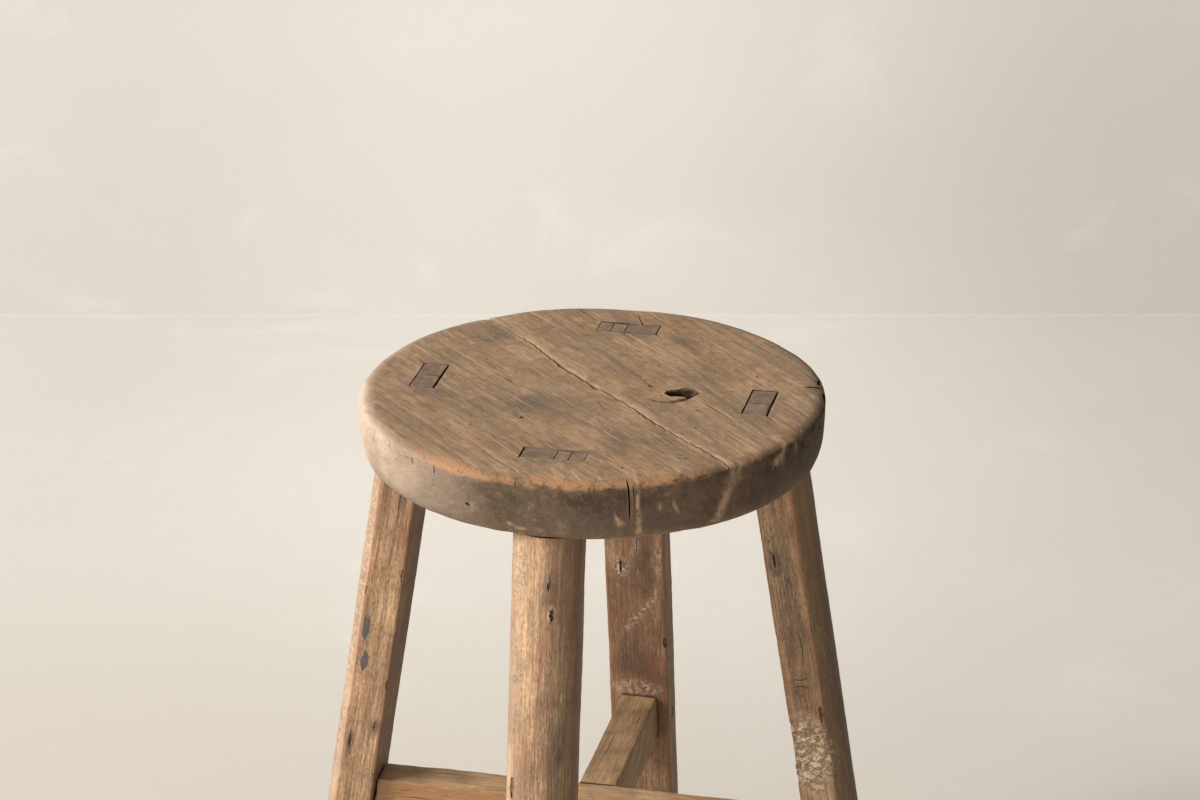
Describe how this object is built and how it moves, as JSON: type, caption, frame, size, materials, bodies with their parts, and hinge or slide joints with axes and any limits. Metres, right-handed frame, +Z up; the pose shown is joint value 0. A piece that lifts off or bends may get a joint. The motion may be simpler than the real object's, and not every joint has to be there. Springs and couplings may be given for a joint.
{
  "type": "round wooden stool",
  "caption": "Round solid-wood farm stool: thick worn slab seat on splayed legs with wedged through tenons and crossed, half-lapped stretchers.",
  "frame": {"origin": "on the floor, under the middle of the round seat", "axes": "+Z up; the front leg stands towards -Y, the right leg towards +X, the back leg towards +Y and the left leg towards -X"},
  "size_m": [0.4176, 0.4176, 0.5],
  "materials": {
    "seat_wood": "old brown elm, waxed and worn, open grain",
    "leg_wood": "old brown elm, worn arrises",
    "wedge_wood": "bare end grain, grey-brown",
    "stretcher_wood": "weathered straw-brown elm",
    "peg_wood": "bamboo or hardwood, plain"
  },
  "bodies": {
    "root": {"seat": "seat_wood", "leg_front": "leg_wood", "leg_right": "leg_wood", "leg_back": "leg_wood", "leg_left": "leg_wood", "wedge_front": "wedge_wood", "wedge_right": "wedge_wood", "wedge_back": "wedge_wood", "wedge_left": "wedge_wood", "stretcher_side": "stretcher_wood", "stretcher_cross": "stretcher_wood", "peg_front": "peg_wood", "peg_right": "peg_wood", "peg_back": "peg_wood", "peg_left": "peg_wood"}
  },
  "joints": []
}
